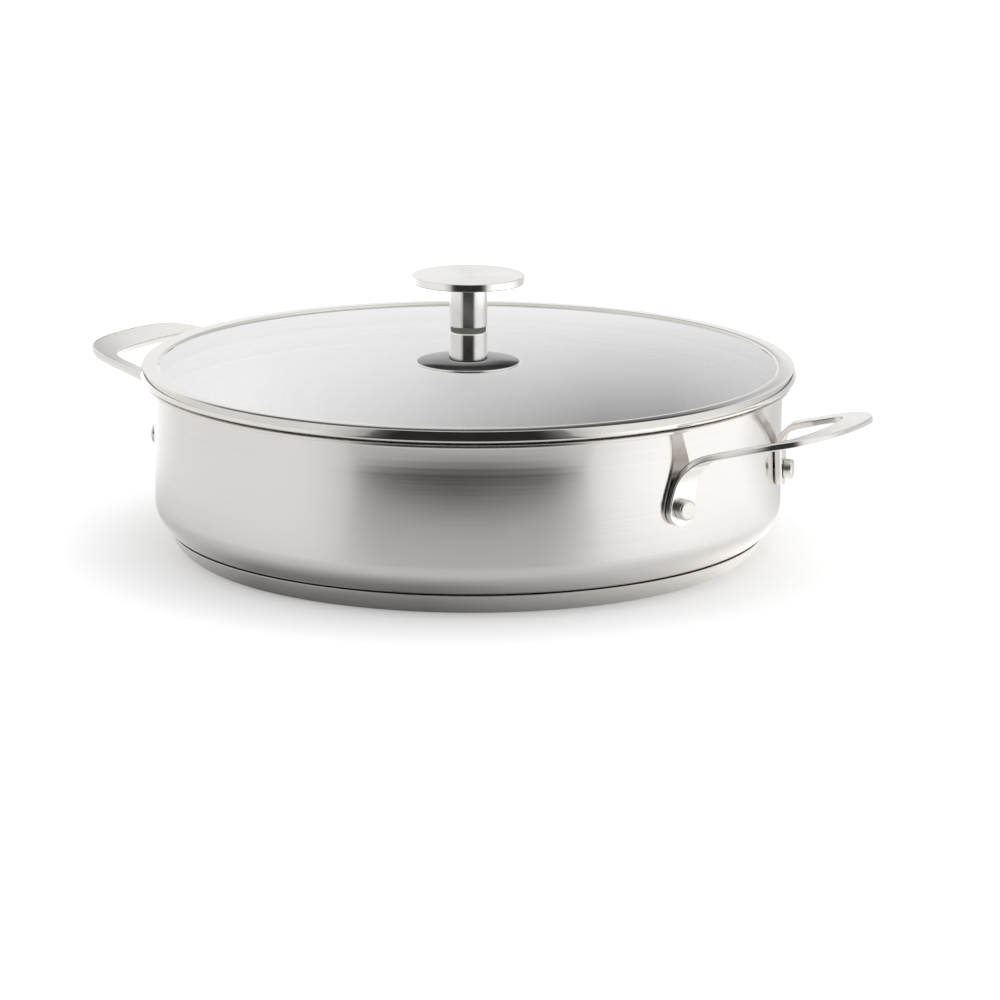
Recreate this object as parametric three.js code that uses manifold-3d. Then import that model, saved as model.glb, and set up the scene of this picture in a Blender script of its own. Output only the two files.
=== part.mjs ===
// Two-handled saute pan with a flat glass lid.
// Millimetres, +Z up. The origin is the centre of the face that the pan stands on, and +X runs along
// the right handle.
import * as THREE from 'three';
import { mergeVertices } from 'three/addons/utils/BufferGeometryUtils.js';
import Module from 'manifold-3d';

// Clearances
const seat = 0.15; // between faces that are clamped together
const restGap = 0.3; // between pieces that rest on each other or hug a curve
const holeGap = 0.2; // round a shank in its hole

// Pan body
const panRadius = 141; // outside of the straight wall
const wallThickness = 1.2;
const cornerRadius = 16; // outside, between bottom and wall
const rimHeight = 77.4; // top of the pouring lip
const lipReach = 4; // the lip stands out this far from the wall
const lipFillet = 2; // outside radius under the lip

// Base
const capSheet = 1;
const coreThickness = 5.6;
const footRadius = 127; // flat that stands on the hob
const seamHeight = 9.4; // edge of the cap against the corner of the pan
const capEdge = 0.6; // width of that edge
const capBulge = 1.1; // how far the side of the cap bows outward
const coreInset = 0.6; // from the inside of the cap to the edge of the core

// Handles, each cut from one plate and bent
const plateThickness = 3;
const legHalfWidth = 6.5;
const rivetAngle = 18.6; // degrees either side of the handle axis
const rivetHeight = 42;
const footLength = 7.6; // from the rivet down to the end of the leg
const bendStart = 51.2; // height where the leg leaves the wall
const bendRadius = 16; // at mid-thickness
const armRise = 15.5; // degrees above level just after the bend
const armCurve = 340; // radius by which the rise flattens toward the tip
const armLength = 40.6; // from the end of the bend to the tip
const gripHalfWidth = 42.1;
const gripDepth = 34; // along the plate, the rounded part of the outline
const gripSquareness = 3.5; // superellipse exponent of the outline
const barDepth = 16; // the grip bar, from slot to tip
const slotHalfWidth = 33.6; // where the rounded part of the slot starts
const slotSquareness = 6;
const plateChamfer = 0.45;

// Rivets
const shankRadius = 2.5;
const headRadius = 4.5;
const headHeight = 3.8;
const headRound = 1.2;
const innerHeadRadius = 5.5;
const innerHeadHeight = 1.5;

// Lid
const bandSheet = 0.5;
const bandOverhang = 2; // past the edge of the lip
const bandCrown = 9; // radius of the bulging side of the band
const bandShoulder = 1.1; // radius between the side and the top flange
const bandCurl = 1; // radius under the lower edge
const bandWidth = 8.6; // from the outside of the band to the edge that holds the glass down
const bandRise = 1; // top of the band above the glass
const bandDip = 0.2; // from there down to the edge that holds the glass
const bandRound = 0.3; // softening of that edge
const skirtDepth = 4.7; // below the face that rests on the lip
const skirtGap = 0.8; // to the wall of the pan
const glassThickness = 4;
const glassInset = 1.7; // from the outside of the band to the edge of the glass
const glassHole = 5.5;
const sealWidth = 0.5;
const sealHeight = 1.4;

// Knob
const screwRadius = 3;
const discRadius = 25.3;
const discThickness = 3.4;
const edgeChamfer = 0.3;
const insertLength = 15;
const insertFloor = 5; // closed end of the insert
const stemRadius = 8.55;
const stemWall = 1.6;
const upperSleeveLength = 19.65;
const ringHeight = 2.4;
const ringRecess = 0.6;
const lowerSleeveLength = 12.6;
const sleeveFootRadius = 8.2; // where the stem stands on its plate
const sleeveTaper = 0.5;
const knobPlateRadius = 23.3;
const knobPlateRim = 0.95; // height of its edge
const knobPlateDome = 0.6; // rise from the edge to the flat under the stem
const knobPlateFlat = 9; // radius of that flat
const gasketThickness = 0.5;
const gasketRadius = 20;
const underGasketRadius = 11;
const underGasketThickness = 0.5;
const washerRadius = 9.5;
const washerThickness = 0.8;
const screwHeadRadius = 5.5;
const screwHeadHeight = 1.7;

// Facets
const panSegments = 64;
const knobSegments = 32;
const screwSegments = 18;
const rivetSegments = 12;

// Derived levels and radii
const degree = Math.PI / 180;
const panInner = panRadius - wallThickness;
const panUnderside = capSheet + seat + coreThickness + seat;
const cornerCentre = new THREE.Vector2(panRadius - cornerRadius, panUnderside + cornerRadius);
const lipRadius = panRadius + lipReach;
const lidSeat = rimHeight + restGap;
const bandRadius = lipRadius + bandOverhang;
const glassBottom = lidSeat + bandSheet + seat;
const glassTop = glassBottom + glassThickness;
const bandTop = glassTop + bandRise;
const plateBottom = glassTop + seat;
const plateTop = plateBottom + knobPlateRim + knobPlateDome;
const lowerSleeveBottom = plateTop + seat;
const ringBottom = lowerSleeveBottom + lowerSleeveLength + seat;
const upperSleeveBottom = ringBottom + ringHeight + seat;
const discBottom = upperSleeveBottom + upperSleeveLength + seat;
const discTop = discBottom + discThickness;
const underGasketBottom = glassBottom - seat - underGasketThickness;
const washerBottom = underGasketBottom - seat - washerThickness;
const screwHole = screwRadius + holeGap;
const insertRadius = stemRadius - stemWall - restGap;
const screwTop = discBottom - insertFloor;

const wasm = await Module();
wasm.setup();

const materials = {
  satinSteel: new THREE.MeshStandardMaterial({ color: '#cfccc6', roughness: 0.35, metalness: 1 }),
  baseSteel: new THREE.MeshStandardMaterial({ color: '#8d8b88', roughness: 0.5, metalness: 1 }),
  aluminium: new THREE.MeshStandardMaterial({ color: '#b9babb', roughness: 0.5, metalness: 1 }),
  polishedSteel: new THREE.MeshStandardMaterial({ color: '#dcdad6', roughness: 0.08, metalness: 1 }),
  glass: new THREE.MeshStandardMaterial({
    color: '#e4ece8', roughness: 0.03, metalness: 0, transparent: true, opacity: 0.3,
  }),
  silicone: new THREE.MeshStandardMaterial({ color: '#b9bdb9', roughness: 0.7, metalness: 0 }),
  darkRing: new THREE.MeshStandardMaterial({ color: '#5c5f57', roughness: 0.6, metalness: 0 }),
};

const point = (x, y) => new THREE.Vector2(x, y);

// Points along an arc, both ends included, angles in degrees.
function arc(centre, radius, from, to, steps) {
  const points = [];
  for (let i = 0; i <= steps; i += 1) {
    const angle = THREE.MathUtils.lerp(from, to, i / steps) * degree;
    points.push(point(centre.x + radius * Math.cos(angle), centre.y + radius * Math.sin(angle)));
  }
  return points;
}

// Points along a quadratic curve between two ends that are already in the outline.
function bow(start, control, end, steps) {
  const curve = new THREE.QuadraticBezierCurve(start, control, end);
  return curve.getPoints(steps).slice(1, -1);
}

// Keeps positions only, shares vertices and drops the empty triangles at the axis.
function weld(geometry) {
  geometry.deleteAttribute('normal');
  geometry.deleteAttribute('uv');
  const merged = mergeVertices(geometry, 1e-4);
  const index = merged.index.array;
  const kept = [];
  for (let i = 0; i < index.length; i += 3) {
    const [a, b, c] = index.slice(i, i + 3);
    if (a !== b && b !== c && c !== a) kept.push(a, b, c);
  }
  merged.setIndex(kept);
  return merged;
}

// Turns a profile of radius and height round +Z. The profile runs counter-clockwise, and is closed
// on itself unless both of its ends lie on the axis.
function turned(profile, segments) {
  const outline = profile[0].x === 0 ? profile : [...profile, profile[0]];
  const geometry = new THREE.LatheGeometry(outline, segments);
  return weld(geometry.rotateX(Math.PI / 2));
}

// A plain washer or tube.
function tube(outer, inner, bottom, top, segments) {
  const profile = [point(inner, bottom), point(outer, bottom), point(outer, top), point(inner, top)];
  return turned(profile, segments);
}

function toManifold(geometry) {
  return new wasm.Manifold(new wasm.Mesh({
    numProp: 3,
    vertProperties: new Float32Array(geometry.attributes.position.array),
    triVerts: new Uint32Array(geometry.index.array),
  }));
}

function fromManifold(solid) {
  const mesh = solid.getMesh();
  const geometry = new THREE.BufferGeometry();
  geometry.setAttribute('position', new THREE.BufferAttribute(new Float32Array(mesh.vertProperties), 3));
  geometry.setIndex(new THREE.BufferAttribute(new Uint32Array(mesh.triVerts), 1));
  return geometry;
}

function cut(geometry, tools) {
  let solid = toManifold(geometry);
  for (const tool of tools) {
    solid = solid.subtract(toManifold(tool));
  }
  return fromManifold(solid);
}

// Lays a shape that was turned round +Z along the radius through a rivet.
function alongRivet(geometry, angle) {
  return geometry.rotateY(Math.PI / 2).rotateZ(angle * degree).translate(0, 0, rivetHeight);
}

function rivetHole(angle) {
  const profile = [point(0, 0), point(shankRadius + holeGap, 0)];
  profile.push(point(shankRadius + holeGap, panRadius * 2), point(0, panRadius * 2));
  return alongRivet(turned(profile, rivetSegments), angle);
}

// Pan body: a drawn cup of even thickness, its wall turned out into a lip.
function panBody() {
  const fillet = point(panRadius + lipFillet, rimHeight - wallThickness - lipFillet);
  const innerCorner = cornerRadius - wallThickness;
  const edge = point(lipRadius - wallThickness / 2, rimHeight - wallThickness / 2);
  const profile = [
    point(0, panUnderside),
    ...arc(cornerCentre, cornerRadius, -90, 0, 5),
    ...arc(fillet, lipFillet, 180, 90, 3),
    ...arc(edge, wallThickness / 2, -90, 90, 2),
    ...arc(fillet, lipFillet + wallThickness, 90, 180, 3),
    ...arc(cornerCentre, innerCorner, 0, -90, 4),
    point(0, panUnderside + wallThickness),
  ];
  const holes = [];
  for (const side of [0, 180]) {
    holes.push(rivetHole(side - rivetAngle), rivetHole(side + rivetAngle));
  }
  return cut(turned(profile, panSegments), holes);
}

// Radius of the rounded corner of the pan at a height.
function cornerRadiusAt(height) {
  const drop = cornerCentre.y - height;
  return cornerCentre.x + Math.sqrt(cornerRadius * cornerRadius - drop * drop);
}

const capRim = cornerRadiusAt(seamHeight) + restGap;

// Side of the cap from its foot up to its rim, bowed outward.
function capSide(start, end, steps) {
  const chord = end.clone().sub(start).normalize();
  const control = start.clone().add(end).multiplyScalar(0.5);
  control.x += 2 * capBulge * chord.y;
  control.y -= 2 * capBulge * chord.x;
  return bow(start, control, end, steps);
}

function baseCap() {
  const foot = point(footRadius, 0);
  const rim = point(capRim + capEdge, seamHeight);
  const innerRim = point(capRim, seamHeight);
  const innerFoot = point(footRadius, capSheet);
  const profile = [
    point(0, 0),
    foot,
    ...capSide(foot, rim, 4),
    rim,
    innerRim,
    ...capSide(innerFoot, innerRim, 4).reverse(),
    innerFoot,
    point(0, capSheet),
  ];
  return turned(profile, panSegments);
}

function baseCore() {
  const bottom = capSheet + seat;
  const reach = (capRim - coreInset - cornerCentre.x) / (cornerRadius + seat);
  const topAngle = -Math.acos(reach) / degree;
  const profile = [
    point(0, bottom),
    point(footRadius - coreInset, bottom),
    ...arc(cornerCentre, cornerRadius + seat, topAngle, -90, 3),
    point(0, bottom + coreThickness),
  ];
  return turned(profile, panSegments);
}

// Handle plate: a flat blank laid on a surface of revolution round the pan. Distances along the
// blank start at the bend: negative down the leg, positive up the arm toward the tip.
const legRadius = Math.hypot(panRadius + restGap + plateThickness / 2, legHalfWidth);
const bendLength = bendRadius * (90 - armRise) * degree;
const tipLength = bendLength + armLength;
const gripStart = tipLength - gripDepth;
const slotEnd = tipLength - barDepth;
const rivetSide = legRadius * Math.sin(rivetAngle * degree);
const legCentre = rivetHeight - bendStart;

// Radius, height and slope of the middle of the plate.
function plateSection(length) {
  if (length <= 0) return { radius: legRadius, height: bendStart + length, slope: 90 * degree };
  const turn = Math.min(length, bendLength) / bendRadius;
  const radius = legRadius + bendRadius * (1 - Math.cos(turn));
  const height = bendStart + bendRadius * Math.sin(turn);
  if (length <= bendLength) return { radius, height, slope: 90 * degree - turn };
  const start = armRise * degree;
  const slope = start - (length - bendLength) / armCurve;
  return {
    radius: radius + armCurve * (Math.sin(start) - Math.sin(slope)),
    height: height + armCurve * (Math.cos(slope) - Math.cos(start)),
    slope,
  };
}

// A point of the blank, lifted from the middle of the plate toward the pan or upward.
function onPlate(length, side, lift) {
  const { radius, height, slope } = plateSection(length);
  const stretch = (radius - lift * Math.sin(slope)) / radius;
  const forward = Math.sqrt(radius * radius - side * side);
  return [forward * stretch, side * stretch, height + lift * Math.cos(slope)];
}

// Half of the loop as pairs of points on the blank, outer edge then slot edge, from the end of the
// leg to the middle of the grip.
function blankStations() {
  const pairs = [];
  const footCentre = legCentre - footLength + legHalfWidth;
  for (const angle of [14, 38, 64]) {
    const length = footCentre - legHalfWidth * Math.cos(angle * degree);
    const half = legHalfWidth * Math.sin(angle * degree);
    pairs.push([[length, rivetSide + half], [length, rivetSide - half]]);
  }
  const legEdge = rivetSide + legHalfWidth;
  const slotEdge = rivetSide - legHalfWidth;
  const bendSteps = 8;
  const lengths = [footCentre, footCentre / 2];
  for (let i = 0; i <= bendSteps; i += 1) lengths.push((bendLength * i) / bendSteps);
  lengths.push((bendLength + gripStart) / 2, gripStart);
  for (const length of lengths) {
    const outer = THREE.MathUtils.lerp(
      legEdge, gripHalfWidth, THREE.MathUtils.smoothstep(length, bendLength / 5, gripStart),
    );
    const along = (length - footCentre) / (gripStart - footCentre);
    pairs.push([[length, outer], [length, THREE.MathUtils.lerp(slotEdge, slotHalfWidth, along)]]);
  }
  const gripSteps = 10;
  for (let i = 1; i <= gripSteps; i += 1) {
    const angle = (i / gripSteps) * 90;
    pairs.push([
      superellipse(angle, gripStart, gripDepth, gripHalfWidth, gripSquareness),
      superellipse(angle, gripStart, slotEnd - gripStart, slotHalfWidth, slotSquareness),
    ]);
  }
  return pairs;
}

function superellipse(angle, start, depth, half, exponent) {
  const sine = Math.max(0, Math.sin(angle * degree));
  const cosine = Math.max(0, Math.cos(angle * degree));
  return [start + depth * sine ** (2 / exponent), half * cosine ** (2 / exponent)];
}

// Eight points round the plate at one station, with its edges chamfered.
function plateRing([outer, inner], flip) {
  const width = Math.hypot(outer[0] - inner[0], outer[1] - inner[1]);
  const share = plateChamfer / width;
  const half = plateThickness / 2;
  const flat = half - plateChamfer;
  const corners = [
    [share, half], [1 - share, half], [1, flat], [1, -flat],
    [1 - share, -half], [share, -half], [0, -flat], [0, flat],
  ];
  return corners.map(([across, lift]) => {
    const length = THREE.MathUtils.lerp(outer[0], inner[0], across);
    const side = THREE.MathUtils.lerp(outer[1], inner[1], across);
    return onPlate(length, side * flip, lift);
  });
}

// Joins rings of equally many points into one closed body.
function loft(rings) {
  const count = rings[0].length;
  const positions = rings.flat(2);
  const index = [];
  for (let ring = 0; ring + 1 < rings.length; ring += 1) {
    for (let i = 0; i < count; i += 1) {
      const a = ring * count + i;
      const b = ring * count + ((i + 1) % count);
      index.push(a, a + count, b, b, a + count, b + count);
    }
  }
  const last = (rings.length - 1) * count;
  for (let i = 1; i + 1 < count; i += 1) {
    index.push(0, i, i + 1);
    index.push(last, last + i + 1, last + i);
  }
  const geometry = new THREE.BufferGeometry();
  geometry.setAttribute('position', new THREE.Float32BufferAttribute(positions, 3));
  geometry.setIndex(index);
  return geometry;
}

function handlePlate() {
  const half = blankStations();
  const near = half.map((pair) => plateRing(pair, -1));
  const far = half.slice(0, -1).reverse().map((pair) => plateRing(pair, 1));
  const plate = loft([...near, ...far]);
  return cut(plate, [rivetHole(-rivetAngle), rivetHole(rivetAngle)]);
}

function rivet(angle) {
  const legFace = panRadius + restGap + plateThickness;
  const innerFace = panInner - 2 * restGap;
  const headSeat = legFace + restGap;
  const headFace = headSeat + headHeight;
  const crown = point(headRadius - headRound, headFace - headRound);
  const profile = [
    point(0, innerFace - innerHeadHeight),
    point(innerHeadRadius - edgeChamfer, innerFace - innerHeadHeight),
    point(innerHeadRadius, innerFace - innerHeadHeight + edgeChamfer),
    point(innerHeadRadius, innerFace),
    point(shankRadius, innerFace),
    point(shankRadius, headSeat),
    point(headRadius, headSeat),
    ...arc(crown, headRound, 0, 90, 3),
    point(0, headFace),
  ];
  return alongRivet(turned(profile, rivetSegments), angle);
}

function lidGlass() {
  const round = glassThickness / 2;
  const edge = point(bandRadius - glassInset - round, glassBottom + round);
  const profile = [
    point(glassHole, glassBottom),
    ...arc(edge, round, -90, 90, 4),
    point(glassHole, glassTop),
  ];
  return turned(profile, panSegments);
}

// Band: skirt in the mouth of the pan, flange over the lip, bulging side, flange lying on the glass.
function lidBand() {
  const skirtRadius = panInner - skirtGap;
  const curl = point(bandRadius - bandCurl, lidSeat + bandCurl);
  const crown = point(bandRadius - bandCrown, curl.y);
  const reach = bandCrown - bandShoulder;
  const tilt = Math.asin((bandTop - bandShoulder - crown.y) / reach) / degree;
  const shoulder = point(crown.x + reach * Math.cos(tilt * degree), bandTop - bandShoulder);
  const flangeEdge = bandRadius - bandWidth;
  const flangeBottom = glassTop + seat;
  const innerSide = bandRadius - bandSheet;
  const profile = [
    point(skirtRadius, lidSeat - skirtDepth),
    point(skirtRadius, lidSeat),
    ...arc(curl, bandCurl, -90, 0, 2),
    ...arc(crown, bandCrown, 0, tilt, 2).slice(1),
    ...arc(shoulder, bandShoulder, tilt, 90, 3).slice(1),
    point(flangeEdge + bandRound, bandTop - bandDip),
    point(flangeEdge, bandTop - bandDip - bandRound),
    point(flangeEdge, flangeBottom),
    point(shoulder.x, flangeBottom),
    point(innerSide, curl.y),
    point(innerSide - bandCurl / 2, lidSeat + bandSheet),
    point(skirtRadius - bandSheet, lidSeat + bandSheet),
    point(skirtRadius - bandSheet, lidSeat - skirtDepth),
  ];
  return turned(profile, panSegments);
}

function lidSeal() {
  const inner = bandRadius - glassInset + seat;
  const bottom = glassBottom + seat;
  return tube(inner + sealWidth, inner, bottom, bottom + sealHeight, panSegments);
}

// Plate under the stem: a low dome with a softened rim, hollowed below for the gasket.
function knobBasePlate() {
  const recess = plateBottom + gasketThickness + seat;
  const rim = point(knobPlateRadius - edgeChamfer, plateBottom + knobPlateRim);
  const flat = point(knobPlateFlat, plateTop);
  const control = point((rim.x + flat.x) / 2, plateTop);
  const profile = [
    point(screwHole, recess),
    point(gasketRadius + restGap, recess),
    point(gasketRadius + restGap, plateBottom),
    point(knobPlateRadius, plateBottom),
    point(knobPlateRadius, rim.y - edgeChamfer),
    rim,
    ...bow(rim, control, flat, 3),
    flat,
    point(screwHole, plateTop),
  ];
  return turned(profile, knobSegments);
}

function knobLowerSleeve() {
  const top = lowerSleeveBottom + lowerSleeveLength;
  const profile = [
    point(screwHole, lowerSleeveBottom),
    point(sleeveFootRadius, lowerSleeveBottom),
    point(stemRadius, lowerSleeveBottom + sleeveTaper),
    point(stemRadius, top - edgeChamfer),
    point(stemRadius - edgeChamfer, top),
    point(screwHole, top),
  ];
  return turned(profile, knobSegments);
}

function knobUpperSleeve() {
  const top = upperSleeveBottom + upperSleeveLength;
  const profile = [
    point(stemRadius - stemWall, upperSleeveBottom),
    point(stemRadius - edgeChamfer, upperSleeveBottom),
    point(stemRadius, upperSleeveBottom + edgeChamfer),
    point(stemRadius, top),
    point(stemRadius - stemWall, top),
  ];
  return turned(profile, knobSegments);
}

// Threaded insert inside the upper stem, which the screw enters from below.
function knobInsert() {
  const top = discBottom - seat;
  const bottom = top - insertLength;
  const profile = [
    point(0, screwTop + seat),
    point(screwHole, screwTop + seat),
    point(screwHole, bottom),
    point(insertRadius, bottom),
    point(insertRadius, top),
    point(0, top),
  ];
  return turned(profile, screwSegments);
}

function knobDisc() {
  const profile = [
    point(0, discBottom),
    point(discRadius - edgeChamfer, discBottom),
    point(discRadius, discBottom + edgeChamfer),
    point(discRadius, discTop - edgeChamfer),
    point(discRadius - edgeChamfer, discTop),
    point(0, discTop),
  ];
  return turned(profile, knobSegments);
}

// Screw from below: a low domed head under the washer and a plain shank up into the insert.
function knobScrew() {
  const headTop = washerBottom - seat;
  const crown = point(screwHeadRadius / 2, headTop - screwHeadHeight);
  const profile = [
    point(0, crown.y),
    crown,
    point(screwHeadRadius, headTop - screwHeadHeight / 2),
    point(screwHeadRadius, headTop),
    point(screwRadius, headTop),
    point(screwRadius, screwTop),
    point(0, screwTop),
  ];
  return turned(profile, screwSegments);
}

function named(name, geometry, material) {
  const mesh = new THREE.Mesh(geometry, material);
  mesh.name = name;
  return mesh;
}

// Pan
const pan = new THREE.Group();
pan.add(named('pan_body', panBody(), materials.satinSteel));
pan.add(named('base_core', baseCore(), materials.aluminium));
pan.add(named('base_cap', baseCap(), materials.baseSteel));
for (const [side, turn] of [['right', 0], ['left', 180]]) {
  const grip = new THREE.Group();
  grip.rotation.z = turn * degree;
  grip.add(named(`handle_${side}`, handlePlate(), materials.polishedSteel));
  const [nearEnd, farEnd] = side === 'right' ? ['front', 'back'] : ['back', 'front'];
  grip.add(named(`rivet_${side}_${nearEnd}`, rivet(-rivetAngle), materials.polishedSteel));
  grip.add(named(`rivet_${side}_${farEnd}`, rivet(rivetAngle), materials.polishedSteel));
  pan.add(grip);
}

// Lid
const lid = new THREE.Group();
lid.add(named('lid_glass', lidGlass(), materials.glass));
lid.add(named('lid_band', lidBand(), materials.polishedSteel));
lid.add(named('lid_seal', lidSeal(), materials.silicone));
lid.add(named('knob_base_plate', knobBasePlate(), materials.polishedSteel));
lid.add(named('knob_lower_sleeve', knobLowerSleeve(), materials.polishedSteel));
lid.add(named('knob_upper_sleeve', knobUpperSleeve(), materials.polishedSteel));
lid.add(named('knob_insert', knobInsert(), materials.satinSteel));
lid.add(named('knob_disc', knobDisc(), materials.polishedSteel));
lid.add(named('knob_screw', knobScrew(), materials.satinSteel));

// Washers and rings on the screw
const spacers = [
  { name: 'knob_ring', radius: stemRadius - ringRecess, bottom: ringBottom, height: ringHeight,
    segments: knobSegments, material: materials.darkRing },
  { name: 'knob_gasket', radius: gasketRadius, bottom: plateBottom, height: gasketThickness,
    segments: knobSegments, material: materials.silicone },
  { name: 'glass_bush', radius: glassHole - holeGap, bottom: glassBottom, height: glassThickness,
    segments: screwSegments, material: materials.silicone },
  { name: 'under_gasket', radius: underGasketRadius, bottom: underGasketBottom,
    height: underGasketThickness, segments: screwSegments, material: materials.silicone },
  { name: 'under_washer', radius: washerRadius, bottom: washerBottom, height: washerThickness,
    segments: screwSegments, material: materials.satinSteel },
];
for (const { name, radius, bottom, height, segments, material } of spacers) {
  lid.add(named(name, tube(radius, screwHole, bottom, bottom + height, segments), material));
}

const object = new THREE.Group();
object.add(pan, lid);

export default object;
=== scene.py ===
import math
import bmesh
import bpy
import numpy as np
from mathutils import Matrix, Vector


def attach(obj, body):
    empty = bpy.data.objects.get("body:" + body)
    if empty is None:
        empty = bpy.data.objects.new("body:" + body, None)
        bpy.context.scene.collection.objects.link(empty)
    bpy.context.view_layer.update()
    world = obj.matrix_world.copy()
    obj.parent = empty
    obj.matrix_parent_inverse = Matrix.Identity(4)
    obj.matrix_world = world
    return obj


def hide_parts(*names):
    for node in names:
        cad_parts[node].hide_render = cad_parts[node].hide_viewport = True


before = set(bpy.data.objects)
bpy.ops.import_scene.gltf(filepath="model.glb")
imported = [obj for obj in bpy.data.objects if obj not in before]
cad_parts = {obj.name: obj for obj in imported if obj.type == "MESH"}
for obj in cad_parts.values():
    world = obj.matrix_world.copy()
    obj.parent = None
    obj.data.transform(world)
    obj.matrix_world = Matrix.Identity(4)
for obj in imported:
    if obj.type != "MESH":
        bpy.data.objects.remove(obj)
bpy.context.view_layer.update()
scene = bpy.context.scene
scene.view_settings.view_transform = "Standard"
millimetre = 0.001
print("frame loaded:", len(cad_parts), "nodes")


# Outlines are radius and height in millimetres, listed counter-clockwise.

def arc(centre, radius, start, end, steps):
    # points on a circle between two angles in degrees
    turn = np.radians(np.linspace(start, end, steps + 1))
    return np.column_stack((centre[0] + radius * np.cos(turn), centre[1] + radius * np.sin(turn)))


def rounded(corners, closed=True, steps=10, brace=0.35):
    # Straight runs between corners (radius, height, rounding). Each corner becomes an arc that touches
    # both runs, and every long run gets a point near each end so that smooth shading stays flat on it.
    spots = np.array(corners, float)
    count = len(spots)
    pieces = []
    for i in range(count):
        spot, size = spots[i, :2], spots[i, 2]
        if size == 0 or (not closed and i in (0, count - 1)):
            pieces.append(spot[None])
            continue
        back = spots[i - 1, :2] - spot
        ahead = spots[(i + 1) % count, :2] - spot
        back /= np.linalg.norm(back)
        ahead /= np.linalg.norm(ahead)
        half = math.acos(np.clip(back @ ahead, -1, 1)) / 2
        centre = spot + (back + ahead) / np.linalg.norm(back + ahead) * size / math.sin(half)
        first = spot + back * size / math.tan(half) - centre
        last = spot + ahead * size / math.tan(half) - centre
        sweep = math.pi - 2 * half
        share = np.linspace(0, 1, steps + 1)[:, None]
        blend = np.sin((1 - share) * sweep) * first + np.sin(share * sweep) * last
        pieces.append(centre + blend / math.sin(sweep))
    outline = []
    for i, piece in enumerate(pieces):
        outline.append(piece)
        if not closed and i == count - 1:
            break
        start, end = piece[-1], pieces[(i + 1) % count][0]
        run = np.linalg.norm(end - start)
        if run > 4 * brace:
            step = (end - start) / run * brace
            outline.append(np.array((start + step, end - step)))
    return np.concatenate(outline)


def turned(outline, segments=288):
    # The outline carried round the upright axis: x = r cos t, y = r sin t, z = h. An outline that starts
    # and ends on the axis closes there in one point, any other closes on itself.
    onAxis = outline[0, 0] == 0
    rings = outline[1:-1] if onAxis else outline
    turn = np.arange(segments) / segments * 2 * np.pi
    x = rings[:, :1] * np.cos(turn)
    y = rings[:, :1] * np.sin(turn)
    points = np.stack((x, y, np.broadcast_to(rings[:, 1:], x.shape)), axis=2).reshape(-1, 3)
    count = len(rings)
    row = np.arange(count - 1 if onAxis else count)[:, None]
    col = np.arange(segments)[None]
    nextRow, nextCol = (row + 1) % count, (col + 1) % segments
    quads = np.stack((row * segments + col, row * segments + nextCol,
                      nextRow * segments + nextCol, nextRow * segments + col), axis=2).reshape(-1, 4)
    faces = quads.tolist()
    if onAxis:
        low, high = len(points), len(points) + 1
        points = np.concatenate((points, [[0, 0, outline[0, 1]], [0, 0, outline[-1, 1]]]))
        ring, after = col[0], nextCol[0]
        top = (count - 1) * segments
        faces += np.column_stack((np.full(segments, low), after, ring)).tolist()
        faces += np.column_stack((top + ring, top + after, np.full(segments, high))).tolist()
    return points, faces


def addPiece(name, points, faces, body, node, slotName, material):
    mesh = bpy.data.meshes.new(name)
    mesh.from_pydata(points * millimetre, [], faces)
    shape = bmesh.new()
    shape.from_mesh(mesh)
    bmesh.ops.recalc_face_normals(shape, faces=shape.faces)
    shape.to_mesh(mesh)
    shape.free()
    mesh.polygons.foreach_set("use_smooth", np.ones(len(mesh.polygons), bool))
    mesh.materials.append(material)
    piece = bpy.data.objects.new(name, mesh)
    scene.collection.objects.link(piece)
    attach(piece, body)
    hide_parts(node)
    return piece


# Materials

def linear(code):
    # sRGB hex to linear colour
    value = np.array([int(code[i:i + 2], 16) for i in (1, 3, 5)]) / 255
    value = np.where(value <= 0.04045, value / 12.92, ((value + 0.055) / 1.055) ** 2.4)
    return (*value.tolist(), 1.0)


def perMetre(size):
    # how often a pattern of this size in millimetres repeats in a metre
    return 1000 / size


def addNode(tree, kind, links=None, **settings):
    # A link is a socket, a node whose first output is meant, or a plain value.
    node = tree.nodes.new("ShaderNode" + kind)
    for name, value in settings.items():
        setattr(node, name, value)
    for name, source in (links or {}).items():
        if isinstance(source, bpy.types.Node):
            source = source.outputs[0]
        if isinstance(source, bpy.types.NodeSocket):
            tree.links.new(source, node.inputs[name])
        else:
            node.inputs[name].default_value = source
    return node


def newMaterial(name):
    material = bpy.data.materials.new(name)
    material.use_nodes = True
    tree = material.node_tree
    tree.nodes.clear()
    return material, tree


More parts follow.
